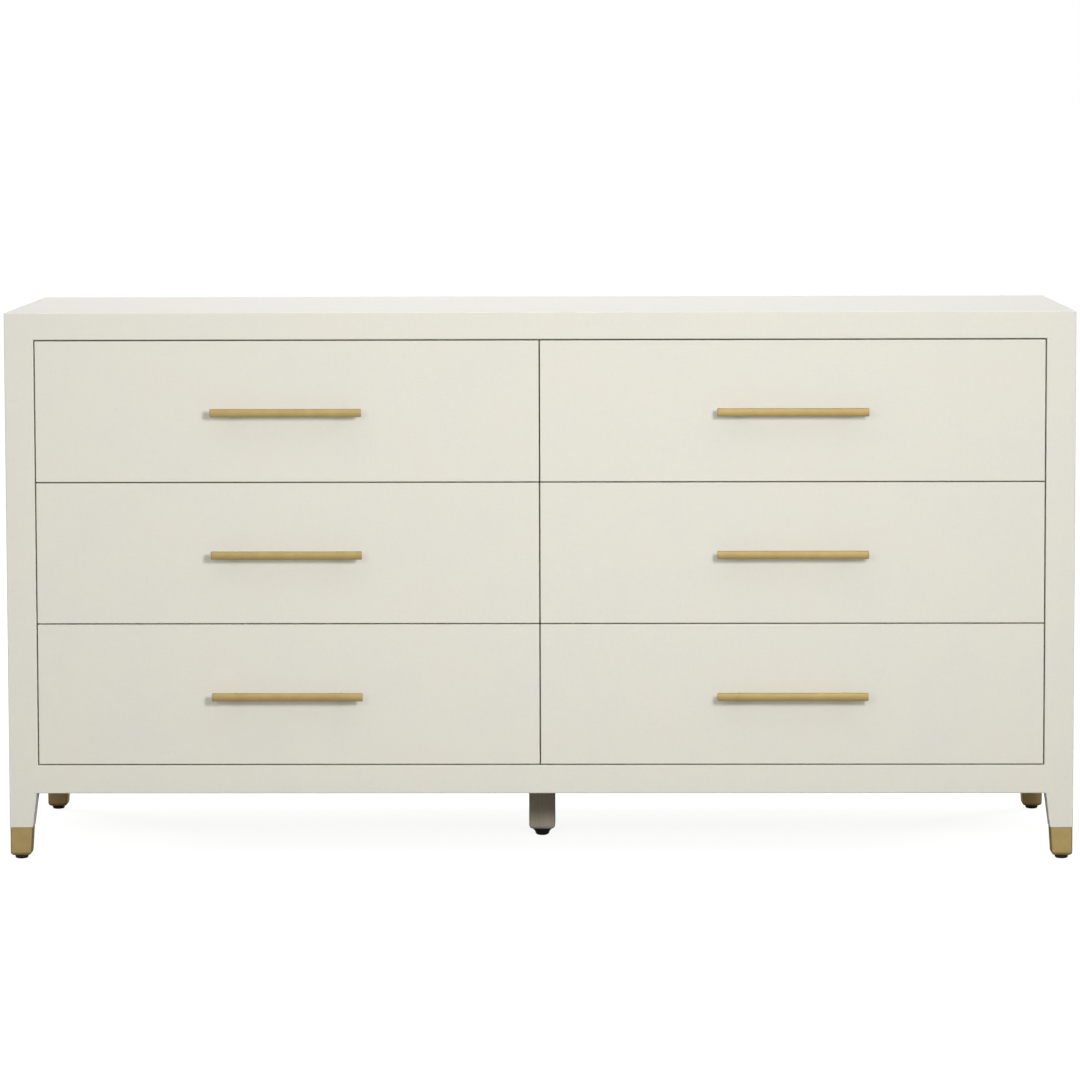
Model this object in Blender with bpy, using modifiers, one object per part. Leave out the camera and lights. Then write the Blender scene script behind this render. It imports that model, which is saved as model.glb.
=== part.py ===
"""A six-drawer dresser: a plain case with inset drawer fronts, on tapered legs with brass ferrules.

Units are metres, +Z is up and the front faces -Y. The origin lies on the floor under the middle of the
overall box, which takes in the pulls. Left and right are as seen from the front.
"""

import math

import bmesh
import bpy

# Case
CASE_WIDTH = 1.6256
CASE_DEPTH = 0.4572
CASE_HEIGHT = 0.8382
TOP_THICKNESS = 0.0416
SIDE_THICKNESS = 0.0445
RAIL_HEIGHT = 0.0436
BOARD_THICKNESS = 0.018
DIVIDER_THICKNESS = 0.015
BACK_THICKNESS = 0.006
REBATE_WIDTH = 0.008
CASE_RADIUS = 0.002

# Legs, ferrules and levelling feet. A leg's sizes are its width along X and its depth along Y.
LEG_HEIGHT = 0.1016
LEG_TOP_SIZE = (0.0420, 0.0380)
LEG_SHOULDER_SIZE = (0.0355, 0.0315)
LEG_FOOT_SIZE = (0.0325, 0.0285)
FERRULE_TOP = 0.0490
FERRULE_BOTTOM = 0.0050
FERRULE_INSET = 0.0006
FERRULE_WALL = 0.0015
FERRULE_FLOOR = 0.0040
POST_EDGE_RADIUS = 0.0025
FERRULE_FOOT_RADIUS = 0.0060
CENTRE_LEG_SIZE = 0.041
CENTRE_LEG_BOTTOM = 0.0115
CENTRE_LEG_SETBACK = 0.207
CENTRE_LEG_FOOT_RADIUS = 0.0070
STEM_RADIUS = 0.004
STEM_TOP = 0.040
STEM_BORE_RADIUS = 0.0045
STEM_BORE_TOP = 0.044
PAD_RADIUS = 0.0102
PAD_FOOT_RADIUS = 0.0086
CENTRE_PAD_RADIUS = 0.0112
FLANGE_RADIUS = 0.0156
FLANGE_THICKNESS = 0.0015
TURNING_STEPS = 20
CORNER_STEPS = 2
FOOT_STEPS = 3

# Drawers
ROWS = ("top", "middle", "bottom")
COLUMNS = (("left", -1), ("right", 1))
REVEAL = 0.0018
FRONT_THICKNESS = 0.020
FRONT_RADIUS = 0.0012
BOX_HEIGHT = 0.160
BOX_LENGTH = 0.400
BOX_BOARD = 0.012
BOX_SIDE_CLEARANCE = 0.006
BOX_LIFT = 0.003
DRAWER_BOTTOM_THICKNESS = 0.006
DRAWER_BOTTOM_HEIGHT = 0.014
GROOVE_DEPTH = 0.006
RUNNER_WIDTH = 0.050
RUNNER_GROOVE_DEPTH = 0.0105
GUIDE_WIDTH = 0.024
GUIDE_HEIGHT = 0.012
GUIDE_SIDE_PLAY = 0.0008

# Pulls: a thin bar with a crowned front, and two posts that meet it just below its middle
PULL_PROJECTION = 0.032
BAR_LENGTH = 0.229
BAR_HEIGHT = 0.0122
BAR_DEPTH = 0.0050
BAR_CROWN = 0.0010
BAR_STEPS = 8
POST_SPACING = 0.160
POST_RADIUS = 0.0040
POST_DROP = 0.0020
POST_SIDES = 16

# Space left between two pieces that touch
FIT_GAP = 0.0003
# How far a cutter runs past the face that it goes through
CUT_OVERRUN = 0.01
# Edges that turn by more than this stay sharp on a round piece
SHARP_ANGLE = math.radians(35)

# Derived planes and heights
FRONT_Y = (PULL_PROJECTION - CASE_DEPTH) / 2
BACK_Y = FRONT_Y + CASE_DEPTH
INNER_X = CASE_WIDTH / 2 - SIDE_THICKNESS
OPENING_BOTTOM = LEG_HEIGHT + RAIL_HEIGHT
OPENING_TOP = CASE_HEIGHT - TOP_THICKNESS
FRONT_HEIGHT = (OPENING_TOP - OPENING_BOTTOM - (len(ROWS) + 1) * REVEAL) / len(ROWS)
FRONT_WIDTH = (2 * INNER_X - 3 * REVEAL) / 2
ROW_PITCH = FRONT_HEIGHT + REVEAL
INTERIOR_FRONT_Y = FRONT_Y + FRONT_THICKNESS + FIT_GAP
INTERIOR_BACK_Y = BACK_Y - BACK_THICKNESS - FIT_GAP
# Height of the surface that a drawer runs over, from the middle of its front
DRAWER_FLOOR = (DIVIDER_THICKNESS - REVEAL - FRONT_HEIGHT) / 2
FLOOR_PANEL_TOP = OPENING_BOTTOM + REVEAL + FRONT_HEIGHT / 2 + DRAWER_FLOOR
COMPARTMENT_WIDTH = INNER_X - BOARD_THICKNESS / 2
BOX_WIDTH = COMPARTMENT_WIDTH - 2 * BOX_SIDE_CLEARANCE


def clear_scene():
    for obj in list(bpy.data.objects):
        bpy.data.objects.remove(obj)


def new_collection(name, hidden=False):
    collection = bpy.data.collections.new(name)
    bpy.context.scene.collection.children.link(collection)
    collection.hide_render = hidden
    return collection


def new_material(name, colour, roughness, metallic=0.0):
    material = bpy.data.materials.new(name)
    material.use_nodes = True
    shader = material.node_tree.nodes["Principled BSDF"]
    shader.inputs["Base Color"].default_value = (*colour, 1.0)
    shader.inputs["Roughness"].default_value = roughness
    shader.inputs["Metallic"].default_value = metallic
    return material


clear_scene()
PARTS = new_collection("dresser")
CUTTERS = new_collection("cutters", hidden=True)

CREAM_WRAP = new_material("cream_wrap", (0.73, 0.71, 0.62), 0.55)
UNDERCOAT = new_material("undercoat", (0.30, 0.27, 0.23), 0.7)
BOARD = new_material("board", (0.62, 0.50, 0.36), 0.6)
BOX_WOOD = new_material("box_wood", (0.66, 0.52, 0.35), 0.5)
HARDWOOD = new_material("hardwood", (0.50, 0.34, 0.20), 0.5)
BRASS = new_material("brass", (0.60, 0.46, 0.22), 0.35, metallic=1.0)
NYLON = new_material("black_nylon", (0.01, 0.01, 0.01), 0.5)


# Shared shape makers


def add_object(bm, name, collection, holder=None, location=(0, 0, 0)):
    """Turns a bmesh into an object, placed from its holder's origin."""
    bmesh.ops.recalc_face_normals(bm, faces=bm.faces)
    mesh = bpy.data.meshes.new(name)
    bm.to_mesh(mesh)
    bm.free()
    obj = bpy.data.objects.new(name, mesh)
    collection.objects.link(obj)
    obj.parent = holder
    obj.location = location
    return obj


def add_piece(bm, name, material, holder=None, location=(0, 0, 0)):
    piece = add_object(bm, name, PARTS, holder, location)
    piece.data.materials.append(material)
    return piece


def shade_round(piece):
    piece.data.shade_smooth()
    piece.data.set_sharp_from_angle(angle=SHARP_ANGLE)


def add_cutter(bm, name, holder=None, location=(0, 0, 0)):
    cutter = add_object(bm, name, CUTTERS, holder, location)
    cutter.hide_render = True
    cutter.display_type = "WIRE"
    return cutter


def box_mesh(size):
    bm = bmesh.new()
    bmesh.ops.create_cube(bm, size=1.0)
    bmesh.ops.scale(bm, vec=size, verts=bm.verts)
    return bm


def size_and_middle(low, high):
    size = [top - bottom for bottom, top in zip(low, high)]
    middle = [(top + bottom) / 2 for bottom, top in zip(low, high)]
    return size, middle


def block(name, low, high, material, holder=None, radius=0.0):
    """A board between two corners, with its edges eased where a radius is given."""
    size, middle = size_and_middle(low, high)
    piece = add_piece(box_mesh(size), name, material, holder, middle)
    if radius:
        ease_edges(piece, radius)
    return piece


def cutting_block(name, low, high, holder=None):
    size, middle = size_and_middle(low, high)
    return add_cutter(box_mesh(size), name, holder, middle)


def cylinder_mesh(radius, length, sides):
    bm = bmesh.new()
    bmesh.ops.create_cone(
        bm, cap_ends=True, segments=sides, radius1=radius, radius2=radius, depth=length
    )
    return bm


def ease_edges(piece, radius):
    bevel = piece.modifiers.new("eased_edges", "BEVEL")
    bevel.width = radius
    bevel.segments = 2
    bevel.limit_method = "ANGLE"


def combine(piece, other, operation):
    boolean = piece.modifiers.new(other.name, "BOOLEAN")
    boolean.operation = operation
    boolean.object = other


def cut(piece, cutter):
    combine(piece, cutter, "DIFFERENCE")


def join(piece, other):
    combine(piece, other, "UNION")


def holder_at(name, location):
    """An empty on a joint's axis, which carries the pieces that move with it."""
    empty = bpy.data.objects.new(name, None)
    PARTS.objects.link(empty)
    empty.location = location
    return empty


def turned(name, profile, material, holder):
    """A round piece from (radius, height) points, which run down its outer side from axis to axis."""
    mesh = bpy.data.meshes.new(name)
    points = [(radius, 0.0, height) for radius, height in profile]
    edges = [(index, index + 1) for index in range(len(points) - 1)]
    mesh.from_pydata(points, edges, [])
    piece = bpy.data.objects.new(name, mesh)
    PARTS.objects.link(piece)
    piece.parent = holder
    piece.data.materials.append(material)
    screw = piece.modifiers.new("turning", "SCREW")
    screw.steps = TURNING_STEPS
    screw.render_steps = TURNING_STEPS
    screw.use_merge_vertices = True
    screw.merge_threshold = 0.00001
    screw.use_smooth_shade = True
    return piece


# Case panels


def make_top_panel():
    top = block(
        "top_panel",
        (-CASE_WIDTH / 2, FRONT_Y, OPENING_TOP),
        (CASE_WIDTH / 2, BACK_Y, CASE_HEIGHT),
        CREAM_WRAP,
        radius=CASE_RADIUS,
    )
    rebate = cutting_block(
        "top_rebate",
        (-INNER_X - REBATE_WIDTH, INTERIOR_BACK_Y, OPENING_TOP - CUT_OVERRUN),
        (INNER_X + REBATE_WIDTH, BACK_Y + CUT_OVERRUN, OPENING_TOP + REBATE_WIDTH),
    )
    cut(top, rebate)


def make_side_panel(column, side):
    outer, inner = side * CASE_WIDTH / 2, side * INNER_X
    panel = block(
        f"side_panel_{column}",
        (min(outer, inner), FRONT_Y, LEG_HEIGHT),
        (max(outer, inner), BACK_Y, OPENING_TOP - FIT_GAP),
        CREAM_WRAP,
        radius=CASE_RADIUS,
    )
    ends = (inner - side * CUT_OVERRUN, inner + side * REBATE_WIDTH)
    rebate = cutting_block(
        f"side_rebate_{column}",
        (min(ends), INTERIOR_BACK_Y, LEG_HEIGHT - CUT_OVERRUN),
        (max(ends), BACK_Y + CUT_OVERRUN, OPENING_TOP + CUT_OVERRUN),
    )
    cut(panel, rebate)


def make_rails():
    """The front rail shows under the drawers. The back rail stiffens the case behind it."""
    reach = INNER_X - FIT_GAP
    block(
        "front_bottom_rail",
        (-reach, FRONT_Y, LEG_HEIGHT),
        (reach, FRONT_Y + FRONT_THICKNESS, OPENING_BOTTOM),
        CREAM_WRAP,
        radius=FRONT_RADIUS,
    )
    block(
        "back_bottom_rail",
        (-reach, INTERIOR_BACK_Y - BOARD_THICKNESS, LEG_HEIGHT),
        (reach, INTERIOR_BACK_Y, FLOOR_PANEL_TOP - BOARD_THICKNESS - FIT_GAP),
        BOARD,
    )


def make_bottom_panel():
    reach = INNER_X - FIT_GAP
    block(
        "bottom_panel",
        (-reach, INTERIOR_FRONT_Y, FLOOR_PANEL_TOP - BOARD_THICKNESS),
        (reach, INTERIOR_BACK_Y, FLOOR_PANEL_TOP),
        BOARD,
    )


def make_back_panel():
    reach = INNER_X + REBATE_WIDTH - FIT_GAP
    block(
        "back_panel",
        (-reach, BACK_Y - BACK_THICKNESS, LEG_HEIGHT),
        (reach, BACK_Y, OPENING_TOP + REBATE_WIDTH - FIT_GAP),
        BOARD,
    )


def row_middle(row):
    """Height of the middle of a row's drawer fronts. Row 0 is the top one."""
    return OPENING_TOP - REVEAL - FRONT_HEIGHT / 2 - row * ROW_PITCH


def divider_middle(row):
    """Height of the middle of the divider under a row, which is the middle of the gap there."""
    return row_middle(row) - FRONT_HEIGHT / 2 - REVEAL / 2


def make_partition_and_dividers():
    """The partition stands between the columns. Each divider crosses it in a halving joint."""
    halving_y = (INTERIOR_FRONT_Y + INTERIOR_BACK_Y) / 2
    partition = block(
        "centre_partition",
        (-BOARD_THICKNESS / 2, INTERIOR_FRONT_Y, FLOOR_PANEL_TOP + FIT_GAP),
        (BOARD_THICKNESS / 2, INTERIOR_BACK_Y, OPENING_TOP - FIT_GAP),
        BOARD,
    )
    reach = INNER_X - FIT_GAP
    for row, name in enumerate(("upper", "lower")):
        height = divider_middle(row)
        divider = block(
            f"divider_{name}",
            (-reach, INTERIOR_FRONT_Y, height - DIVIDER_THICKNESS / 2),
            (reach, INTERIOR_BACK_Y, height + DIVIDER_THICKNESS / 2),
            BOARD,
        )
        half_slot = DIVIDER_THICKNESS / 2 + FIT_GAP
        partition_slot = cutting_block(
            f"partition_slot_{name}",
            (-BOARD_THICKNESS, INTERIOR_FRONT_Y - CUT_OVERRUN, height - half_slot),
            (BOARD_THICKNESS, halving_y + FIT_GAP, height + half_slot),
        )
        cut(partition, partition_slot)
        half_slot = BOARD_THICKNESS / 2 + FIT_GAP
        divider_slot = cutting_block(
            f"divider_slot_{name}",
            (-half_slot, halving_y, height - DIVIDER_THICKNESS),
            (half_slot, INTERIOR_BACK_Y + CUT_OVERRUN, height + DIVIDER_THICKNESS),
        )
        cut(divider, divider_slot)


# Legs, ferrules and levelling feet


def leg_size(height):
    """A corner leg's width and depth at a height. It tapers faster above the ferrule than inside it."""
    if height > FERRULE_TOP:
        low, high = LEG_SHOULDER_SIZE, LEG_TOP_SIZE
        part = (height - FERRULE_TOP) / (LEG_HEIGHT - FERRULE_TOP)
    else:
        low, high = LEG_FOOT_SIZE, LEG_SHOULDER_SIZE
        part = height / FERRULE_TOP
    return [start + part * (end - start) for start, end in zip(low, high)]


def leg_corners(side_x, side_y, inset, height):
    """The low and high corners of a corner leg's outline at a height, drawn in by an inset."""
    width, depth = leg_size(height)
    outer_x = side_x * (CASE_WIDTH / 2 - inset)
    inner_x = side_x * (CASE_WIDTH / 2 - width + inset)
    face_y = BACK_Y if side_y > 0 else FRONT_Y
    outer_y = face_y - side_y * inset
    inner_y = face_y - side_y * (depth - inset)
    low = (min(outer_x, inner_x), min(outer_y, inner_y))
    high = (max(outer_x, inner_x), max(outer_y, inner_y))
    return low, high


def tapered_mesh(side_x, side_y, inset, bottom, top):
    """A corner leg's outline between two heights, drawn in by an inset."""
    bm = bmesh.new()
    bmesh.ops.create_cube(bm, size=1.0)
    for vert in bm.verts:
        height = top if vert.co.z > 0 else bottom
        low, high = leg_corners(side_x, side_y, inset, height)
        vert.co.x = high[0] if vert.co.x > 0 else low[0]
        vert.co.y = high[1] if vert.co.y > 0 else low[1]
        vert.co.z = height
    return bm


def rounded_loop(bm, low, high, radius, height):
    """A level loop of points round a rectangle with round corners."""
    loop = []
    for quarter, (x, y) in enumerate(
        ((high[0], high[1]), (low[0], high[1]), (low[0], low[1]), (high[0], low[1]))
    ):
        centre_x = min(max(x, low[0] + radius), high[0] - radius)
        centre_y = min(max(y, low[1] + radius), high[1] - radius)
        for step in range(CORNER_STEPS + 1):
            angle = (quarter + step / CORNER_STEPS) * math.pi / 2
            point = (centre_x + radius * math.cos(angle), centre_y + radius * math.sin(angle), height)
            loop.append(bm.verts.new(point))
    return loop


def rounded_foot_mesh(corners_at, bottom, top, foot_radius):
    """A post with round corners and a rounded lower rim, lofted through level loops.

    corners_at(inset, height) gives the post's low and high corners at a height, drawn in by an inset.
    """
    bm = bmesh.new()
    levels = []
    for step in range(FOOT_STEPS + 1):
        angle = step / FOOT_STEPS * math.pi / 2
        inset = foot_radius * (1 - math.sin(angle))
        levels.append((inset, bottom + foot_radius * (1 - math.cos(angle))))
    levels.append((0.0, top))
    loops = []
    for inset, height in levels:
        low, high = corners_at(inset, height)
        loops.append(rounded_loop(bm, low, high, POST_EDGE_RADIUS, height))
    for lower, upper in zip(loops, loops[1:]):
        for index, vert in enumerate(lower):
            bm.faces.new((lower[index - 1], vert, upper[index], upper[index - 1]))
    bm.faces.new(loops[0])
    bm.faces.new(loops[-1])
    return bm


def stem_bore(name, x, y):
    """The hole that a levelling foot's stem screws up into."""
    bottom = -CUT_OVERRUN
    bm = cylinder_mesh(STEM_BORE_RADIUS, STEM_BORE_TOP - bottom, POST_SIDES)
    return add_cutter(bm, name, location=(x, y, (STEM_BORE_TOP + bottom) / 2))


def foot_axis(side_x, side_y):
    """Where a corner leg's levelling foot stands."""
    outer_y = BACK_Y if side_y > 0 else FRONT_Y
    x = side_x * (CASE_WIDTH - LEG_FOOT_SIZE[0]) / 2
    y = outer_y - side_y * LEG_FOOT_SIZE[1] / 2
    return x, y


def make_corner_leg(end, side_y, column, side_x):
    place = f"{end}_{column}"
    bore = stem_bore(f"bore_{place}", *foot_axis(side_x, side_y))

    shoulder = FERRULE_TOP + FIT_GAP
    shaft = tapered_mesh(side_x, side_y, 0.0, shoulder, LEG_HEIGHT - FIT_GAP)
    leg = add_piece(shaft, f"leg_{place}", CREAM_WRAP)
    tenon_inset = FERRULE_INSET + FERRULE_WALL + FIT_GAP
    tenon_bottom = FERRULE_BOTTOM + FERRULE_FLOOR + FIT_GAP
    tenon = tapered_mesh(side_x, side_y, tenon_inset, tenon_bottom, FERRULE_TOP + CUT_OVERRUN)
    join(leg, add_cutter(tenon, f"tenon_{place}"))
    cut(leg, bore)

    shell = rounded_foot_mesh(
        lambda inset, height: leg_corners(side_x, side_y, FERRULE_INSET + inset, height),
        FERRULE_BOTTOM,
        FERRULE_TOP,
        FERRULE_FOOT_RADIUS,
    )
    ferrule = add_piece(shell, f"ferrule_{place}", BRASS)
    shade_round(ferrule)
    cavity_inset = FERRULE_INSET + FERRULE_WALL
    cavity_bottom = FERRULE_BOTTOM + FERRULE_FLOOR
    cavity = tapered_mesh(
        side_x, side_y, cavity_inset, cavity_bottom, FERRULE_TOP + CUT_OVERRUN / 2
    )
    cut(ferrule, add_cutter(cavity, f"cavity_{place}"))
    cut(ferrule, bore)


def make_centre_leg():
    """A square leg under the middle of the case, which keeps the long bottom panel from sagging."""
    middle_y = FRONT_Y + CENTRE_LEG_SETBACK

    def corners_at(inset, _height):
        half = CENTRE_LEG_SIZE / 2 - inset
        return (-half, middle_y - half), (half, middle_y + half)

    top = FLOOR_PANEL_TOP - BOARD_THICKNESS - FIT_GAP
    post = rounded_foot_mesh(corners_at, CENTRE_LEG_BOTTOM, top, CENTRE_LEG_FOOT_RADIUS)
    leg = add_piece(post, "leg_centre", UNDERCOAT)
    shade_round(leg)
    cut(leg, stem_bore("bore_centre", 0.0, middle_y))


def make_corner_leveller(end, side_y, column, side_x):
    place = f"{end}_{column}"
    x, y = foot_axis(side_x, side_y)
    holder = holder_at(f"leveller_axis_{place}", (x, y, 0.0))
    pad_top = FERRULE_BOTTOM - FIT_GAP
    profile = [
        (0.0, STEM_TOP),
        (STEM_RADIUS, STEM_TOP),
        (STEM_RADIUS, pad_top),
        (PAD_RADIUS, pad_top),
        (PAD_RADIUS, pad_top / 2),
        (PAD_FOOT_RADIUS, 0.0),
        (0.0, 0.0),
    ]
    turned(f"leveller_{place}", profile, NYLON, holder)


def make_centre_leveller():
    """The centre foot has a wide flange under the leg, above a pad like the corner ones."""
    holder = holder_at("leveller_axis_centre", (0.0, FRONT_Y + CENTRE_LEG_SETBACK, 0.0))
    flange_top = CENTRE_LEG_BOTTOM - FIT_GAP
    profile = [
        (0.0, STEM_TOP),
        (STEM_RADIUS, STEM_TOP),
        (STEM_RADIUS, flange_top),
        (FLANGE_RADIUS, flange_top),
        (FLANGE_RADIUS, flange_top - FLANGE_THICKNESS),
        (CENTRE_PAD_RADIUS, flange_top / 2),
        (CENTRE_PAD_RADIUS, flange_top / 4),
        (PAD_FOOT_RADIUS, 0.0),
        (0.0, 0.0),
    ]
    turned("leveller_centre", profile, NYLON, holder)


# Drawers. Each is drawn from the middle of its front's outer face.


def box_offset(side):
    """The box is centred in its compartment, which lies a little outward of the drawer front."""
    compartment_middle = (INNER_X + BOARD_THICKNESS / 2) / 2
    front_middle = (FRONT_WIDTH + REVEAL) / 2
    return side * (compartment_middle - front_middle)


def make_drawer_front(place, holder):
    block(
        f"drawer_front_{place}",
        (-FRONT_WIDTH / 2, 0.0, -FRONT_HEIGHT / 2),
        (FRONT_WIDTH / 2, FRONT_THICKNESS, FRONT_HEIGHT / 2),
        CREAM_WRAP,
        holder,
        radius=FRONT_RADIUS,
    )


def make_drawer_box(place, holder, side):
    """Two sides, a sub-front and a back, glued up. The back stops above the bottom's groove."""
    middle = box_offset(side)
    left, right = middle - BOX_WIDTH / 2, middle + BOX_WIDTH / 2
    front = FRONT_THICKNESS + FIT_GAP
    back = front + BOX_LENGTH
    bottom = DRAWER_FLOOR + BOX_LIFT
    top = bottom + BOX_HEIGHT
    panel_bottom = bottom + DRAWER_BOTTOM_HEIGHT
    panel_top = panel_bottom + DRAWER_BOTTOM_THICKNESS

    box = block(f"drawer_box_{place}", (left, front, bottom), (right, back, top), BOX_WOOD, holder)
    inside = cutting_block(
        f"box_inside_{place}",
        (left + BOX_BOARD, front + BOX_BOARD, bottom - CUT_OVERRUN),
        (right - BOX_BOARD, back - BOX_BOARD, top + CUT_OVERRUN),
        holder,
    )
    under_back = cutting_block(
        f"under_box_back_{place}",
        (left + BOX_BOARD, back - 2 * BOX_BOARD, bottom - CUT_OVERRUN),
        (right - BOX_BOARD, back + CUT_OVERRUN, panel_top + FIT_GAP),
        holder,
    )
    groove_reach = BOX_BOARD - GROOVE_DEPTH
    groove = cutting_block(
        f"bottom_groove_{place}",
        (left + groove_reach, front + groove_reach, panel_bottom - FIT_GAP),
        (right - groove_reach, back + CUT_OVERRUN, panel_top + FIT_GAP),
        holder,
    )
    for cutter in (inside, under_back, groove):
        cut(box, cutter)
    make_drawer_bottom(place, holder, left, right, front, back, panel_bottom)


def make_drawer_bottom(place, holder, left, right, front, back, bottom):
    """A thin panel in the groove, free to slide in from behind."""
    margin = BOX_BOARD - GROOVE_DEPTH + FIT_GAP
    block(
        f"drawer_bottom_{place}",
        (left + margin, front + margin, bottom),
        (right - margin, back, bottom + DRAWER_BOTTOM_THICKNESS),
        BOX_WOOD,
        holder,
    )


def make_runner(place, holder, side):
    """A grooved batten under the drawer bottom, which rides over the guide rail in the case."""
    middle = box_offset(side)
    front = FRONT_THICKNESS + BOX_BOARD + 2 * FIT_GAP
    back = FRONT_THICKNESS + FIT_GAP + BOX_LENGTH
    bottom = DRAWER_FLOOR + BOX_LIFT
    top = bottom + DRAWER_BOTTOM_HEIGHT - FIT_GAP
    runner = block(
        f"runner_{place}",
        (middle - RUNNER_WIDTH / 2, front, bottom),
        (middle + RUNNER_WIDTH / 2, back, top),
        HARDWOOD,
        holder,
    )
    half_groove = GUIDE_WIDTH / 2 + GUIDE_SIDE_PLAY
    groove = cutting_block(
        f"runner_groove_{place}",
        (middle - half_groove, front - CUT_OVERRUN, bottom - CUT_OVERRUN),
        (middle + half_groove, back + CUT_OVERRUN, bottom + RUNNER_GROOVE_DEPTH),
        holder,
    )
    cut(runner, groove)


def make_guide_rail(place, drawer_x, drawer_z, side):
    """A hardwood rail on the surface under the drawer, fixed to the case."""
    middle = drawer_x + box_offset(side)
    bottom = drawer_z + DRAWER_FLOOR + FIT_GAP
    front = INTERIOR_FRONT_Y + BOX_BOARD + 2 * FIT_GAP
    block(
        f"guide_rail_{place}",
        (middle - GUIDE_WIDTH / 2, front, bottom),
        (middle + GUIDE_WIDTH / 2, INTERIOR_BACK_Y - FIT_GAP, bottom + GUIDE_HEIGHT),
        HARDWOOD,
    )


def bar_section():
    """The bar's outline in the YZ plane: a flat back and a front on a shallow arc."""
    half = BAR_HEIGHT / 2
    arc_radius = (half**2 + BAR_CROWN**2) / (2 * BAR_CROWN)
    reach = math.asin(half / arc_radius)
    back = -PULL_PROJECTION + BAR_DEPTH
    section = [(back, half), (back, -half)]
    for step in range(BAR_STEPS + 1):
        angle = reach * (2 * step / BAR_STEPS - 1)
        y = -PULL_PROJECTION + arc_radius * (1 - math.cos(angle))
        section.append((y, arc_radius * math.sin(angle)))
    return section


def bar_mesh():
    """The bar's section, drawn out along X."""
    bm = bmesh.new()
    end_face = bm.faces.new([bm.verts.new((-BAR_LENGTH / 2, y, z)) for y, z in bar_section()])
    extruded = bmesh.ops.extrude_face_region(bm, geom=[end_face])["geom"]
    far_end = [item for item in extruded if isinstance(item, bmesh.types.BMVert)]
    bmesh.ops.translate(bm, vec=(BAR_LENGTH, 0, 0), verts=far_end)
    return bm


def make_pull(place, holder):
    """The bar is one solid with the two posts behind it."""
    pull = add_piece(bar_mesh(), f"pull_{place}", BRASS, holder)
    shade_round(pull)
    length = PULL_PROJECTION - BAR_DEPTH / 2 - FIT_GAP
    for side in (-1, 1):
        post = add_cutter(
            cylinder_mesh(POST_RADIUS, length, POST_SIDES),
            f"pull_post_{place}_{side}",
            holder,
            (side * POST_SPACING / 2, -FIT_GAP - length / 2, -POST_DROP),
        )
        post.rotation_euler.x = math.pi / 2
        shade_round(post)
        join(pull, post)


def make_drawer(row, column, side):
    place = f"{ROWS[row]}_{column}"
    x, z = side * (FRONT_WIDTH + REVEAL) / 2, row_middle(row)
    holder = holder_at(f"drawer_slide_{place}", (x, FRONT_Y, z))
    make_drawer_front(place, holder)
    make_drawer_box(place, holder, side)
    make_runner(place, holder, side)
    make_pull(place, holder)
    make_guide_rail(place, x, z, side)


make_top_panel()
for column_name, column_side in COLUMNS:
    make_side_panel(column_name, column_side)
make_rails()
make_bottom_panel()
make_back_panel()
make_partition_and_dividers()
for end_name, end_side in (("front", -1), ("back", 1)):
    for column_name, column_side in COLUMNS:
        make_corner_leg(end_name, end_side, column_name, column_side)
        make_corner_leveller(end_name, end_side, column_name, column_side)
make_centre_leg()
make_centre_leveller()
for row_index in range(len(ROWS)):
    for column_name, column_side in COLUMNS:
        make_drawer(row_index, column_name, column_side)
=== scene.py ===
"""The looks of the six-drawer dresser: its visible pieces, their materials and a plain studio.

Everything is in metres, in the frame's own axes: +Z up, the drawer fronts face -Y.
"""

import functools
import math

import bmesh
import bpy
from mathutils import Matrix, Vector


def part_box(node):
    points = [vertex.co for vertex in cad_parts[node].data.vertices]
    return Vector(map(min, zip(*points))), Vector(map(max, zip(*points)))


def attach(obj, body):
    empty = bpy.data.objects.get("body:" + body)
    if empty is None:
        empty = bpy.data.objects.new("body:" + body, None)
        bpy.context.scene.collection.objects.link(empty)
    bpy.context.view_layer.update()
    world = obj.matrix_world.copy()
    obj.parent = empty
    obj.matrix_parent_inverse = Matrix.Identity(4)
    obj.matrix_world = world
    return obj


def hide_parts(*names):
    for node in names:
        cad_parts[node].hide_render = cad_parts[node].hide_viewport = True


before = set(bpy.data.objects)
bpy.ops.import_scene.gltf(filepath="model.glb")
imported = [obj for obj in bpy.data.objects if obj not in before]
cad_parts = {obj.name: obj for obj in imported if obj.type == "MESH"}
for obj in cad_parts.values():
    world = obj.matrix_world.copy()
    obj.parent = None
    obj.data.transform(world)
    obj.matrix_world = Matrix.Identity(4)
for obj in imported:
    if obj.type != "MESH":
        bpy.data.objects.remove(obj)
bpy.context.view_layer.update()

# Places, read from the frame
TOP_LOW, TOP_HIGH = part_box("top_panel")
RAIL_LOW, RAIL_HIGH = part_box("front_bottom_rail")
BACK_LOW, BACK_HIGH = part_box("back_panel")
LEG_LOW, LEG_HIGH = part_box("leg_front_left")
FERRULE_LOW, FERRULE_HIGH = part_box("ferrule_front_left")
HALF_WIDTH = TOP_HIGH.x
FRONT_Y, BACK_Y = TOP_LOW.y, TOP_HIGH.y
CASE_TOP, CASE_BOTTOM = TOP_HIGH.z, RAIL_LOW.z
OPENING_TOP, OPENING_BOTTOM = TOP_LOW.z, RAIL_HIGH.z
INNER_X = -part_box("side_panel_left")[1].x
COLUMNS = (("left", -1), ("right", 1))
ENDS = (("front", -1), ("back", 1))
ROWS = ("top", "middle", "bottom")

# Every piece
SHARP_ANGLE = math.radians(35)
MERGE_DISTANCE = 1e-6
FIT_GAP = 0.0003

# Case and drawer fronts. The case's pieces part at seams set in from the opening's edges
CASE_RADIUS = 0.0018
FRONT_RADIUS = 0.0012
EDGE_SEGMENTS = 3
SEAM_INSET = 0.001

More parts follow.
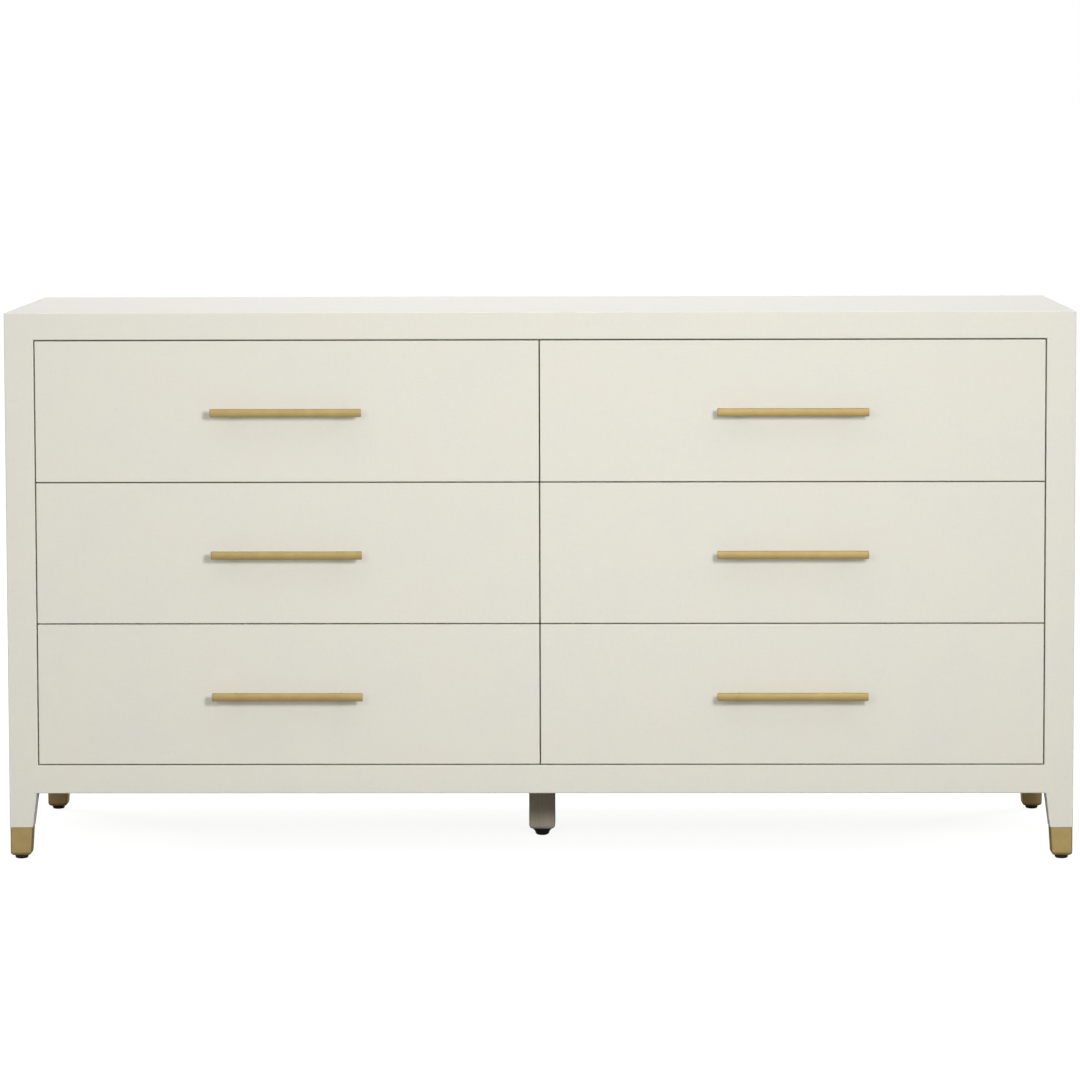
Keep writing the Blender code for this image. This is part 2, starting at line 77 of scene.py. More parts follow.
# Legs, ferrules and levelling feet
LEG_TOP_SIZE = (LEG_HIGH.x - LEG_LOW.x, LEG_HIGH.y - LEG_LOW.y)
LEG_SHOULDER_SIZE = (0.0355, 0.0315)
LEG_FOOT_SIZE = (0.0325, 0.0285)
LEG_RADIUS = 0.0018
FERRULE_TOP, FERRULE_BOTTOM = FERRULE_HIGH.z, FERRULE_LOW.z
FERRULE_INSET = 0.0006
FERRULE_WALL = 0.0015
FERRULE_FLOOR = 0.0040
FERRULE_RADIUS = 0.0026
FERRULE_RIM_RADIUS = 0.0004
FERRULE_FOOT_RADIUS = 0.0060
BORE_RADIUS = 0.0046
BORE_TOP = 0.044
CENTRE_LEG_RADIUS = 0.0030
CENTRE_LEG_FOOT_RADIUS = 0.0070
STEM_RADIUS = 0.0040
THREAD_PITCH = 0.00125
THREAD_DEPTH = 0.0006
ROWS_PER_TURN = 6
PAD_RADIUS = 0.0102
PAD_FOOT_RADIUS = 0.0084
CENTRE_FLANGE_RADIUS = 0.0156
CENTRE_PAD_RADIUS = 0.0112
CORNER_STEPS = 6
ROUND_STEPS = 5

# Pulls
BAR_DEPTH = 0.0050
BAR_CROWN = 0.0010
BAR_EDGE_RADIUS = 0.0007
BAR_END_RADIUS = 0.0012
BAR_STEPS = 12
POST_SPACING = 0.160
POST_RADIUS = 0.0040
POST_DROP = 0.0020
POST_COVE = 0.0005

# How far the middle of the bar's rounded corners lies from both faces, as a share of the radius
FRONT_CORNER_EASE = 0.35
BACK_CORNER_EASE = 0.29

# Drawer boxes
BOX_BOARD = 0.012
BOARD_EASE = 0.0005
TAILS = 4
TAIL_SHARE = 0.72
TAIL_FLARE = 0.0022
JOINT_GAP = 0.00015
BOTTOM_TOP = 0.020

# Screws. The front's screws lie at a share of the box's width, to each side of its middle
PULL_SCREW_RADIUS = 0.0048
FRONT_SCREW_RADIUS = 0.0040
FRONT_SCREW_REACH = 0.42
FRONT_SCREW_ABOVE_BOTTOM = 0.045
FRONT_SCREW_BELOW_TOP = 0.022
BACK_SCREW_RADIUS = 0.0034
BACK_SCREW_INSET = 0.0042
BACK_SCREW_ABOVE_BOTTOM = 0.03
BACK_SCREW_SPACING = 0.16
SINK_RADIUS = BACK_SCREW_RADIUS * 1.08
SINK_POINT_RADIUS = BACK_SCREW_RADIUS * 0.45
SINK_DEPTH = BACK_SCREW_RADIUS * 0.85
SOCKET_SHARE = 0.42
SCREW_SIDES = 24

# Colours, as linear red, green and blue
WRAP_COOL = (0.735, 0.722, 0.640)
WRAP_WARM = (0.757, 0.727, 0.625)
WRAP_DARKEST, WRAP_LIGHTEST = 0.955, 1.03
BRASS_DEEP = (0.49, 0.374, 0.163)
BRASS_PALE = (0.545, 0.419, 0.190)
NYLON_BLACK = (0.006, 0.006, 0.006)
NYLON_DUST = (0.016, 0.015, 0.014)
UNDERCOAT_DARK = (0.37, 0.325, 0.245)
UNDERCOAT_LIGHT = (0.51, 0.455, 0.355)
ZINC_DARK = (0.50, 0.51, 0.53)
ZINC_LIGHT = (0.66, 0.66, 0.66)
PLY_LIGHT, PLY_DARK = (0.62, 0.50, 0.36), (0.47, 0.34, 0.215)
SHEET_LIGHT, SHEET_DARK = (0.60, 0.485, 0.35), (0.535, 0.415, 0.285)
BOX_LIGHT, BOX_DARK = (0.70, 0.57, 0.40), (0.55, 0.40, 0.25)
HARD_LIGHT, HARD_DARK = (0.56, 0.39, 0.24), (0.40, 0.25, 0.135)
WHITE = (1.0, 1.0, 1.0)
COOL = (0.84, 0.855, 1.0)

# Textures. At a scale of 1 a wave texture's waves are one unit wave long
THREAD_SPACING = 0.0012
RING_SPACING = 0.006
SHEET_RING_SPACING = 0.011
HARD_RING_SPACING = 0.004
UNIT_WAVE = math.pi / 10

# Studio
SKY_AT_HORIZON = 0.54
SKY_OVERHEAD = 0.60
FLOOR_SEEN_DARK = (0.29, 0.29, 0.29)
FLOOR_SEEN_LIGHT = (0.31, 0.31, 0.31)
FLOOR_GLOW = 0.88
FLOOR_UNSEEN = (0.30, 0.30, 0.30)
FLOOR_REACH = 200.0
KEY_POWER = 54.0
FILL_POWER = 14.5
OVERHEAD_POWER = 3.8
CROWN_POWER = 25.5
REAR_POWER = 34.0
MIDDLE_HEIGHT = 0.45

# Camera
CAMERA_PLACE = (0.0874, -6.3657, 1.1813)
CAMERA_LENS = 135.63
CAMERA_SHIFT = -0.15
CAMERA_TURN = 0.01402
CAMERA_TILT = 0.07194
CAMERA_ROLL = -0.00279


# Node materials


def feed(tree, node, inputs):
    """Sets or links a node's inputs, which are given by name or number."""
    for name, value in inputs.items():
        if isinstance(value, bpy.types.NodeSocket):
            tree.links.new(value, node.inputs[name])
        else:
            node.inputs[name].default_value = value


def add_node(tree, kind, inputs=None, **settings):
    """A new node with its settings made and its inputs fed."""
    node = tree.nodes.new(kind)
    for name, value in settings.items():
        setattr(node, name, value)
    feed(tree, node, inputs or {})
    return node


def math_node(tree, operation, *values):
    """One step of arithmetic on numbers or sockets."""
    return add_node(tree, "ShaderNodeMath", dict(enumerate(values)), operation=operation).outputs[0]


def total(tree, *values):
    """The sum of several values."""
    return functools.reduce(functools.partial(math_node, tree, "ADD"), values)


def times(tree, value, factor):
    """A value times a factor."""
    return math_node(tree, "MULTIPLY", value, factor)


def place_node(tree):
    """Where a point of the surface lies on the object, in metres."""
    return add_node(tree, "ShaderNodeTexCoord").outputs["Object"]


def stretched(tree, place, scale):
    """A place scaled along each axis, which makes a texture finer along it."""
    inputs = {0: place, 1: scale}
    return add_node(tree, "ShaderNodeVectorMath", inputs, operation="MULTIPLY").outputs[0]


def noise(tree, place, scale, detail=2.0, roughness=0.5):
    """Cloudy noise round 0.5."""
    inputs = {"Vector": place, "Scale": scale, "Detail": detail, "Roughness": roughness}
    return add_node(tree, "ShaderNodeTexNoise", inputs).outputs["Fac"]


def spread(tree, value, low, high):
    """The value's middle range, from 0.3 to 0.7 as a noise gives it, drawn out to a new one."""
    inputs = {"Value": value, 1: 0.3, 2: 0.7, 3: low, 4: high}
    return add_node(tree, "ShaderNodeMapRange", inputs).outputs[0]


def mixed(tree, factor, first, second):
    """A colour between two others."""
    inputs = {0: factor, 6: (*first, 1.0), 7: (*second, 1.0)}
    return add_node(tree, "ShaderNodeMix", inputs, data_type="RGBA").outputs[2]


def shaded(tree, base, shade):
    """A colour made darker or lighter by a grey shade."""
    grey = add_node(tree, "ShaderNodeCombineColor", {0: shade, 1: shade, 2: shade}).outputs[0]
    inputs = {0: 1.0, 6: base, 7: grey}
    settings = {"data_type": "RGBA", "blend_type": "MULTIPLY"}
    return add_node(tree, "ShaderNodeMix", inputs, **settings).outputs[2]


def bumped(tree, height, distance, strength):
    """The surface's normal, tipped as the height varies."""
    inputs = {"Height": height, "Distance": distance, "Strength": strength}
    return add_node(tree, "ShaderNodeBump", inputs).outputs["Normal"]


def new_material(name):
    """A new material with its node tree and its shader."""
    material = bpy.data.materials.new(name)
    material.use_nodes = True
    return material, material.node_tree, material.node_tree.nodes["Principled BSDF"]


def threads(tree, place):
    """The crowns of threads that run both ways over every face of the case."""
    inputs = {
        "Vector": place,
        "Scale": UNIT_WAVE / THREAD_SPACING,
        "Distortion": 1.2,
        "Detail": 1.0,
        "Detail Scale": 40.0,
    }
    crowns = [
        add_node(tree, "ShaderNodeTexWave", inputs, bands_direction=axis).outputs["Fac"]
        for axis in "XYZ"
    ]
    uneven = spread(tree, noise(tree, place, 90.0, detail=1.0), 0.6, 1.0)
    return times(tree, total(tree, *crowns), uneven)


def slubs(tree, place):
    """Thick and thin yarns: long streaks along X, Y and Z, fine across."""
    streaks = [
        noise(tree, stretched(tree, place, scale), 1.0, roughness=0.6)
        for scale in ((45, 900, 900), (900, 45, 900), (900, 900, 45))
    ]
    return times(tree, total(tree, *streaks), 1 / len(streaks))


def make_cream_wrap():
    """A fine woven wrap under cream lacquer, mottled a little warm and cool and finely pebbled."""
    material, tree, shader = new_material("cream_wrap")
    place = place_node(tree)
    mottle = noise(tree, place, 9.0, detail=4.0, roughness=0.6)
    base = mixed(tree, spread(tree, mottle, 0.0, 1.0), WRAP_COOL, WRAP_WARM)
    pebble = noise(tree, place, 260.0, detail=3.0, roughness=0.65)
    yarn_weight = 1.4
    grain = total(tree, times(tree, slubs(tree, place), yarn_weight), pebble)
    grain = times(tree, grain, 1 / (yarn_weight + 1))
    height = total(tree, times(tree, threads(tree, place), 0.35), grain)
    feed(tree, shader, {
        "Base Color": shaded(tree, base, spread(tree, grain, WRAP_DARKEST, WRAP_LIGHTEST)),
        "Roughness": spread(tree, grain, 0.50, 0.64),
        "Specular IOR Level": 0.42,
        "Normal": bumped(tree, height, 0.00022, 0.55),
    })
    return material


def make_brass(name, along):
    """Satin brass with fine brush lines that run one way."""
    material, tree, shader = new_material(name)
    place = place_node(tree)
    lines = noise(tree, stretched(tree, place, along), 1.0, detail=4.0, roughness=0.7)
    cloud = noise(tree, place, 60.0, detail=3.0)
    tint = mixed(tree, spread(tree, cloud, 0.0, 1.0), BRASS_DEEP, BRASS_PALE)
    height = total(tree, lines, times(tree, cloud, 0.6))
    feed(tree, shader, {
        "Base Color": shaded(tree, tint, spread(tree, lines, 0.93, 1.05)),
        "Metallic": 1.0,
        "Roughness": spread(tree, lines, 0.62, 0.74),
        "Normal": bumped(tree, height, 0.00004, 0.5),
    })
    return material


def make_nylon():
    """Moulded black nylon, dusty in patches."""
    material, tree, shader = new_material("black_nylon")
    place = place_node(tree)
    speckle = noise(tree, place, 1400.0, detail=2.0)
    dust = noise(tree, place, 300.0, detail=4.0, roughness=0.7)
    feed(tree, shader, {
        "Base Color": mixed(tree, spread(tree, dust, 0.0, 0.5), NYLON_BLACK, NYLON_DUST),
        "Roughness": spread(tree, speckle, 0.42, 0.62),
        "Normal": bumped(tree, speckle, 0.00005, 0.5),
    })
    return material


def make_undercoat():
    """Thin grey-brown paint, brushed on along the leg, over wood whose grain still shows."""
    material, tree, shader = new_material("undercoat")
    place = place_node(tree)
    brush = noise(tree, stretched(tree, place, (700, 700, 18)), 1.0, detail=3.0, roughness=0.6)
    patch = noise(tree, place, 35.0, detail=3.0)
    tone = times(tree, total(tree, brush, patch), 0.5)
    feed(tree, shader, {
        "Base Color": mixed(tree, spread(tree, tone, 0.0, 1.0), UNDERCOAT_DARK, UNDERCOAT_LIGHT),
        "Roughness": spread(tree, brush, 0.6, 0.8),
        "Normal": bumped(tree, brush, 0.00015, 0.6),
    })
    return material


def make_wood(name, light, dark, grain, pith, roughness, ring_spacing=RING_SPACING):
    """Wood whose growth rings lie round a pith along the grain, so that cut ends show arcs.

    The pith's place is given the other way round, as the step from it to the origin.
    """
    material, tree, shader = new_material(name)
    place = place_node(tree)
    moved = add_node(tree, "ShaderNodeVectorMath", {0: place, 1: pith}, operation="ADD").outputs[0]
    along = {"X": (0.12, 1, 1), "Y": (1, 0.12, 1), "Z": (1, 1, 0.12)}[grain]
    drawn = stretched(tree, moved, along)
    inputs = {
        "Vector": drawn,
        "Scale": UNIT_WAVE / ring_spacing,
        "Distortion": 5.0,
        "Detail": 3.0,
        "Detail Scale": 0.9,
        "Detail Roughness": 0.55,
    }
    rings = add_node(
        tree, "ShaderNodeTexWave", inputs, wave_type="RINGS", rings_direction=grain
    ).outputs["Fac"]
    fibres = noise(tree, drawn, 900.0, detail=3.0, roughness=0.65)
    broad = noise(tree, drawn, 22.0)
    weights = ((rings, 0.45), (fibres, 0.4), (broad, 0.35))
    tone = total(tree, *(times(tree, value, weight) for value, weight in weights))
    feed(tree, shader, {
        "Base Color": mixed(tree, spread(tree, tone, 0.0, 1.0), light, dark),
        "Roughness": spread(tree, fibres, roughness - 0.05, roughness + 0.08),
        "Normal": bumped(tree, fibres, 0.00012, 0.5),
    })
    return material


def make_steel():
    """Zinc-plated steel."""
    material, tree, shader = new_material("plated_steel")
    place = place_node(tree)
    spangle = noise(tree, place, 900.0, detail=3.0)
    feed(tree, shader, {
        "Base Color": mixed(tree, spread(tree, spangle, 0.0, 1.0), ZINC_DARK, ZINC_LIGHT),
        "Metallic": 1.0,
        "Roughness": spread(tree, spangle, 0.28, 0.42),
        "Normal": bumped(tree, spangle, 0.00002, 0.4),
    })
    return material


CREAM_WRAP = make_cream_wrap()
BRASS_LENGTHWAYS = make_brass("brass_brushed_along", (25, 1800, 1800))
BRASS_UPRIGHT = make_brass("brass_brushed_upright", (1800, 1800, 40))
NYLON = make_nylon()
UNDERCOAT = make_undercoat()
STEEL = make_steel()
BOARD_ALONG_X = make_wood(
    "board_along_x", PLY_LIGHT, PLY_DARK, "X", pith=(0.0, 0.09, 0.06), roughness=0.6
)
BOARD_UPRIGHT = make_wood(
    "board_upright", PLY_LIGHT, PLY_DARK, "Z", pith=(0.07, 0.11, 0.0), roughness=0.6
)
BACK_SHEET = make_wood(
    "back_sheet", SHEET_LIGHT, SHEET_DARK, "Z", pith=(0.25, 1.6, 0.0), roughness=0.62,
    ring_spacing=SHEET_RING_SPACING,
)
BOX_ALONG_X = make_wood(
    "box_wood_along_x", BOX_LIGHT, BOX_DARK, "X", pith=(0.0, 0.13, 0.05), roughness=0.42
)
BOX_ALONG_Y = make_wood(
    "box_wood_along_y", BOX_LIGHT, BOX_DARK, "Y", pith=(0.12, 0.0, 0.06), roughness=0.42
)
HARDWOOD = make_wood(
    "hardwood", HARD_LIGHT, HARD_DARK, "Y", pith=(0.05, 0.0, 0.08), roughness=0.4,
    ring_spacing=HARD_RING_SPACING,
)


# Shapes


def make_piece(bm, name, body, slot, materials, replaced=()):
    """Turns a bmesh into a piece that rides on a body.

    Its slot argument is not used. It stands for the CAD nodes that it hides; screws stand for none.
    """
    bmesh.ops.remove_doubles(bm, verts=bm.verts, dist=MERGE_DISTANCE)
    bmesh.ops.recalc_face_normals(bm, faces=bm.faces)
    mesh = bpy.data.meshes.new(name)
    bm.to_mesh(mesh)
    bm.free()
    for material in materials:
        mesh.materials.append(material)
    mesh.shade_smooth()
    mesh.set_sharp_from_angle(angle=SHARP_ANGLE)
    piece = bpy.data.objects.new(name, mesh)
    bpy.context.scene.collection.objects.link(piece)
    weighted = piece.modifiers.new("face_weighted", "WEIGHTED_NORMAL")
    weighted.keep_sharp = True
    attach(piece, body)
    if replaced:
        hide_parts(*replaced)
    return piece


def add_box(bm, low, high):
    """A box between two corners. Returns its new vertices."""
    size = [b - a for a, b in zip(low, high)]
    middle = [(a + b) / 2 for a, b in zip(low, high)]
    matrix = Matrix.Translation(middle) @ Matrix.Diagonal((*size, 1))
    return bmesh.ops.create_cube(bm, size=1.0, matrix=matrix)["verts"]


def eased_box(bm, low, high, radius, segments=EDGE_SEGMENTS):
    """A box between two corners, with all its edges rounded."""
    verts = add_box(bm, low, high)
    edges = {edge for vert in verts for edge in vert.link_edges}
    bmesh.ops.bevel(
        bm, geom=sorted(edges, key=lambda e: e.index), offset=radius, segments=segments,
        profile=0.5, affect="EDGES", clamp_overlap=True,
    )


def rounded_rectangle(low, high, radius):
    """Points round a rectangle with round corners, anticlockwise."""
    points = []
    corners = ((high[0], high[1]), (low[0], high[1]), (low[0], low[1]), (high[0], low[1]))
    for quarter, (u, v) in enumerate(corners):
        middle_u = min(max(u, low[0] + radius), high[0] - radius)
        middle_v = min(max(v, low[1] + radius), high[1] - radius)
        for step in range(CORNER_STEPS + 1):
            angle = (quarter + step / CORNER_STEPS) * math.pi / 2
            point = (middle_u + radius * math.cos(angle), middle_v + radius * math.sin(angle))
            points.append(point)
    return points


def round_points(middle, radius):
    """Points round a circle, as many as round a rectangle, so two at each quarter."""
    low = (middle[0] - radius, middle[1] - radius)
    high = (middle[0] + radius, middle[1] + radius)
    return rounded_rectangle(low, high, radius)


def loft(bm, rings, closed=False):
    """Faces between rings of points, with flat ends unless the last ring joins the first."""
    loops = [[bm.verts.new(point) for point in ring] for ring in rings]
    pairs = list(zip(loops, loops[1:]))
    if closed:
        pairs.append((loops[-1], loops[0]))
    for lower, upper in pairs:
        for index, vert in enumerate(lower):
            bm.faces.new((lower[index - 1], vert, upper[index], upper[index - 1]))
    if not closed:
        bm.faces.new(loops[0])
        bm.faces.new(loops[-1])


def rounding(radius, steps=ROUND_STEPS):
    """Pairs of inset and distance along a rounded end, from its flat face to its full section."""
    pairs = []
    for step in range(steps + 1):
        angle = step / steps * math.pi / 2
        pairs.append((radius * (1 - math.sin(angle)), radius * (1 - math.cos(angle))))
    return pairs


def helper_object(bm, name):
    """An object made of a bmesh, for a modifier to work on."""
    mesh = bpy.data.meshes.new(name)
    bm.to_mesh(mesh)
    bm.free()
    obj = bpy.data.objects.new(name, mesh)
    bpy.context.scene.collection.objects.link(obj)
    return obj


def subtract(bm, cutter_bm):
    """The mesh with another one cut out of it by a Boolean modifier. Uses both up."""
    whole, cutter = helper_object(bm, "whole"), helper_object(cutter_bm, "cutter")
    boolean = whole.modifiers.new("cut", "BOOLEAN")
    boolean.object = cutter
    bpy.context.view_layer.update()
    evaluated = whole.evaluated_get(bpy.context.evaluated_depsgraph_get())
    result = bmesh.new()
    result.from_mesh(evaluated.to_mesh())
    evaluated.to_mesh_clear()
    for obj in (whole, cutter):
        bpy.data.objects.remove(obj)
    return result


def cut_away(bm, low, high):
    """The mesh with a box cut out of it."""
    box = bmesh.new()
    add_box(box, low, high)
    return subtract(bm, box)


# Case: one eased block with its opening cut out, then parted at the joints, so that no seam shows


def case_mesh():
    """The top, sides and front rail as one block, its outer and front edges eased."""
    beyond = 0.05
    bm = bmesh.new()
    add_box(bm, (-HALF_WIDTH, FRONT_Y, CASE_BOTTOM), (HALF_WIDTH, BACK_Y, CASE_TOP))
    opening_low = (-INNER_X, FRONT_Y - beyond, OPENING_BOTTOM)
    bm = cut_away(bm, opening_low, (INNER_X, BACK_Y + beyond, OPENING_TOP))
    behind_low = (-INNER_X, RAIL_HIGH.y, CASE_BOTTOM - beyond)
    bm = cut_away(bm, behind_low, (INNER_X, BACK_Y + beyond, OPENING_BOTTOM + beyond))
    reach = BACK_HIGH.x + FIT_GAP
    rebate_low = (-reach, BACK_LOW.y - FIT_GAP, CASE_BOTTOM - beyond)
    bm = cut_away(bm, rebate_low, (reach, BACK_Y + beyond, BACK_HIGH.z + FIT_GAP))
    # Planes at the legs' inner faces, so that the rounding can end there
    leg_x = HALF_WIDTH - LEG_TOP_SIZE[0]
    for place, direction in (
        ((leg_x, 0, 0), (1, 0, 0)),
        ((-leg_x, 0, 0), (1, 0, 0)),
        ((0, FRONT_Y + LEG_TOP_SIZE[1], 0), (0, 1, 0)),
        ((0, BACK_Y - LEG_TOP_SIZE[1], 0), (0, 1, 0)),
    ):
        geometry = bm.verts[:] + bm.edges[:] + bm.faces[:]
        bmesh.ops.bisect_plane(
            bm, geom=geometry, plane_co=place, plane_no=direction, dist=MERGE_DISTANCE
        )
    bmesh.ops.bevel(
        bm, geom=[edge for edge in bm.edges if is_eased(edge)], offset=CASE_RADIUS,
        segments=EDGE_SEGMENTS, profile=0.5, affect="EDGES",
    )
    return bm


def is_eased(edge):
    """Whether an edge of the case is rounded: an outer one is, unless a leg carries on below it."""
    if len(edge.link_faces) != 2 or edge.calc_face_angle_signed(0.0) < math.radians(60):
        return False
    middle = (edge.verts[0].co + edge.verts[1].co) / 2
    near = 1e-5
    on_leg = (
        abs(middle.x) > HALF_WIDTH - LEG_TOP_SIZE[0]
        and (middle.y < FRONT_Y + LEG_TOP_SIZE[1] or middle.y > BACK_Y - LEG_TOP_SIZE[1])
    )
    if abs(middle.z - CASE_BOTTOM) < near and on_leg:
        return False
    on_front = abs(middle.y - FRONT_Y) < near
    on_top = abs(middle.z - CASE_TOP) < near
    outside_rebate = abs(middle.x) > BACK_HIGH.x + FIT_GAP + near
    on_back = abs(middle.y - BACK_Y) < near and (outside_rebate or on_top)
    on_side = abs(abs(middle.x) - HALF_WIDTH) < near
    return on_front or on_back or on_side or on_top


def parted(bm, *planes):
    """A copy of a mesh, kept on the positive side of each plane and closed where it was cut."""
    part = bm.copy()
    for place, direction in planes:
        bmesh.ops.bisect_plane(
            part, geom=part.verts[:] + part.edges[:] + part.faces[:], dist=1e-7,
            plane_co=place, plane_no=direction, clear_inner=True,
        )
        rim = [edge for edge in part.edges if edge.is_boundary]
        bmesh.ops.edgeloop_fill(part, edges=rim)
    return part


def make_case():
    """The top, the sides and the front rail, parted out of one mesh."""
    whole = case_mesh()
    seam_z = OPENING_TOP - SEAM_INSET
    seam_x = INNER_X - SEAM_INSET
    above, below = ((0, 0, seam_z), (0, 0, 1)), ((0, 0, seam_z), (0, 0, -1))
    wrap = ("cream_wrap", [CREAM_WRAP])
    make_piece(parted(whole, above), "top_panel_wrapped", "case", *wrap, ["top_panel"])
    for column, side in COLUMNS:
        outward = ((side * seam_x, 0, 0), (side, 0, 0))
        name = f"side_panel_{column}"
        make_piece(parted(whole, below, outward), f"{name}_wrapped", "case", *wrap, [name])
    inward = [((side * seam_x, 0, 0), (-side, 0, 0)) for _, side in COLUMNS]
    rail = parted(whole, below, *inward)
    make_piece(rail, "front_rail_wrapped", "case", *wrap, ["front_bottom_rail"])
    whole.free()


# Legs, ferrules and levelling feet


def leg_size(height):
    """A corner leg's width and depth at a height. It tapers in two stages."""
    if height > FERRULE_TOP:
        low, high = LEG_SHOULDER_SIZE, LEG_TOP_SIZE
        part = (height - FERRULE_TOP) / (CASE_BOTTOM - FERRULE_TOP)
    else:
        low, high = LEG_FOOT_SIZE, LEG_SHOULDER_SIZE
        part = height / FERRULE_TOP
    return [start + part * (end - start) for start, end in zip(low, high)]


def leg_ring(side_x, side_y, height, inset, radius):
    """A level ring round a corner leg, drawn in by an inset."""
    width, depth = leg_size(height)
    face_y = BACK_Y if side_y > 0 else FRONT_Y
    xs = sorted((side_x * (HALF_WIDTH - inset), side_x * (HALF_WIDTH - width + inset)))
    ys = sorted((face_y - side_y * inset, face_y - side_y * (depth - inset)))
    outline = rounded_rectangle((xs[0], ys[0]), (xs[1], ys[1]), radius)
    return [(x, y, height) for x, y in outline]


def round_ring(middle, radius, height):
    """A level round ring."""
    return [(x, y, height) for x, y in round_points(middle, radius)]


def foot_axis(side_x, side_y):
    """Where a corner leg's levelling foot stands."""
    face_y = BACK_Y if side_y > 0 else FRONT_Y
    x = side_x * (HALF_WIDTH - LEG_FOOT_SIZE[0] / 2)
    return x, face_y - side_y * LEG_FOOT_SIZE[1] / 2


def make_corner_leg(place, side_x, side_y):
    """The tapered leg above, and the tenon with its bore that the ferrule hides."""
    axis = foot_axis(side_x, side_y)
    tenon_bottom = FERRULE_BOTTOM + FERRULE_FLOOR + FIT_GAP
    tenon_inset = FERRULE_INSET + FERRULE_WALL + FIT_GAP
    shoulder = FERRULE_TOP + FIT_GAP
    rings = [
        round_ring(axis, BORE_RADIUS, BORE_TOP),
        round_ring(axis, BORE_RADIUS, tenon_bottom),
        leg_ring(side_x, side_y, tenon_bottom, tenon_inset, LEG_RADIUS / 2),
        leg_ring(side_x, side_y, shoulder, tenon_inset, LEG_RADIUS / 2),
    ]
    for inset, rise in rounding(FERRULE_RIM_RADIUS, 2):
        rings.append(leg_ring(side_x, side_y, shoulder + rise, inset, LEG_RADIUS))
    rings.append(leg_ring(side_x, side_y, CASE_BOTTOM, 0.0, LEG_RADIUS))
    bm = bmesh.new()
    loft(bm, rings)
    make_piece(bm, f"leg_{place}_wrapped", "case", "cream_wrap", [CREAM_WRAP], [f"leg_{place}"])


def make_ferrule(place, side_x, side_y):
    """A cast cup with a rounded foot, a thin rim and a hole in its floor for the levelling stem."""
    axis = foot_axis(side_x, side_y)
    rings = []
    for inset, rise in rounding(FERRULE_FOOT_RADIUS):
        radius = max(FERRULE_RADIUS, inset)
        height = FERRULE_BOTTOM + rise
        rings.append(leg_ring(side_x, side_y, height, FERRULE_INSET + inset, radius))
    for inset, drop in reversed(rounding(FERRULE_RIM_RADIUS, 2)):
        height = FERRULE_TOP - drop
        rings.append(leg_ring(side_x, side_y, height, FERRULE_INSET + inset, FERRULE_RADIUS))
    inside = FERRULE_INSET + FERRULE_WALL
    floor_top = FERRULE_BOTTOM + FERRULE_FLOOR
    rings.append(leg_ring(side_x, side_y, FERRULE_TOP, inside, FERRULE_RADIUS / 2))
    rings.append(leg_ring(side_x, side_y, floor_top, inside, FERRULE_RADIUS / 2))
    rings.append(round_ring(axis, BORE_RADIUS, floor_top))
    rings.append(round_ring(axis, BORE_RADIUS, FERRULE_BOTTOM))
    bm = bmesh.new()
    loft(bm, rings, closed=True)
    make_piece(bm, f"ferrule_{place}_brass", "case", "brass", [BRASS_UPRIGHT], [f"ferrule_{place}"])


def thread_ring(middle, height):
    """A level ring through the stem, whose radius follows the thread's helix."""
    ring = []
    for x, y in round_points((0.0, 0.0), 1.0):
        turn = math.atan2(y, x) / (2 * math.pi)
        wave = 0.5 + 0.5 * math.cos(2 * math.pi * (height / THREAD_PITCH - turn))
        radius = STEM_RADIUS - THREAD_DEPTH * wave
        ring.append((middle[0] + radius * x, middle[1] + radius * y, height))
    return ring


def make_leveller(place, middle, profile):
    """A levelling foot: a threaded steel stem in a pad, whose profile runs down from the stem."""
    stem_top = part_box(f"leveller_{place}")[1].z
    pad_top = profile[0][1]
    rows = math.ceil((stem_top - pad_top) / THREAD_PITCH * ROWS_PER_TURN)
    rings = [round_ring(middle, STEM_RADIUS - THREAD_DEPTH, stem_top)]
    for row in range(1, rows):
        height = stem_top - row * (stem_top - pad_top) / rows
        rings.append(thread_ring(middle, height))
    rings.append(round_ring(middle, STEM_RADIUS, pad_top))
    rings += [round_ring(middle, radius, height) for radius, height in profile]
    bm = bmesh.new()
    loft(bm, rings)
    for face in bm.faces:
        face.material_index = int(face.calc_center_median().z > pad_top + FIT_GAP / 10)
    make_piece(
        bm, f"levelling_foot_{place}_turned", f"levelling_foot_{place}", "black_nylon",
        [NYLON, STEEL], [f"leveller_{place}"],
    )


def corner_pad_profile():
    """A pad that narrows to the floor, as pairs of radius and height."""
    top = FERRULE_BOTTOM - FIT_GAP
    return (
        (PAD_RADIUS - 0.0006, top),
        (PAD_RADIUS, top - 0.0006),
        (PAD_RADIUS, top / 2),
        (PAD_FOOT_RADIUS + 0.0008, 0.0008),
        (PAD_FOOT_RADIUS + 0.0003, 0.0003),
        (PAD_FOOT_RADIUS - 0.0006, 0.0),
    )


def centre_pad_profile(top):
    """A wide thin flange against the leg, then a foot with rounded lower edges."""
    flange, pad = CENTRE_FLANGE_RADIUS, CENTRE_PAD_RADIUS
    return (
        (flange - 0.0004, top),
        (flange, top - 0.0004),
        (flange - 0.0002, top - 0.0014),
        (flange - 0.0012, top - 0.0022),
        (pad + 0.0012, top - 0.0044),
        (pad, top - 0.0062),
        (pad - 0.0002, top - 0.0078),
        (pad - 0.0012, 0.0018),
        (pad - 0.0030, 0.0006),
        (pad - 0.0046, 0.0),
    )


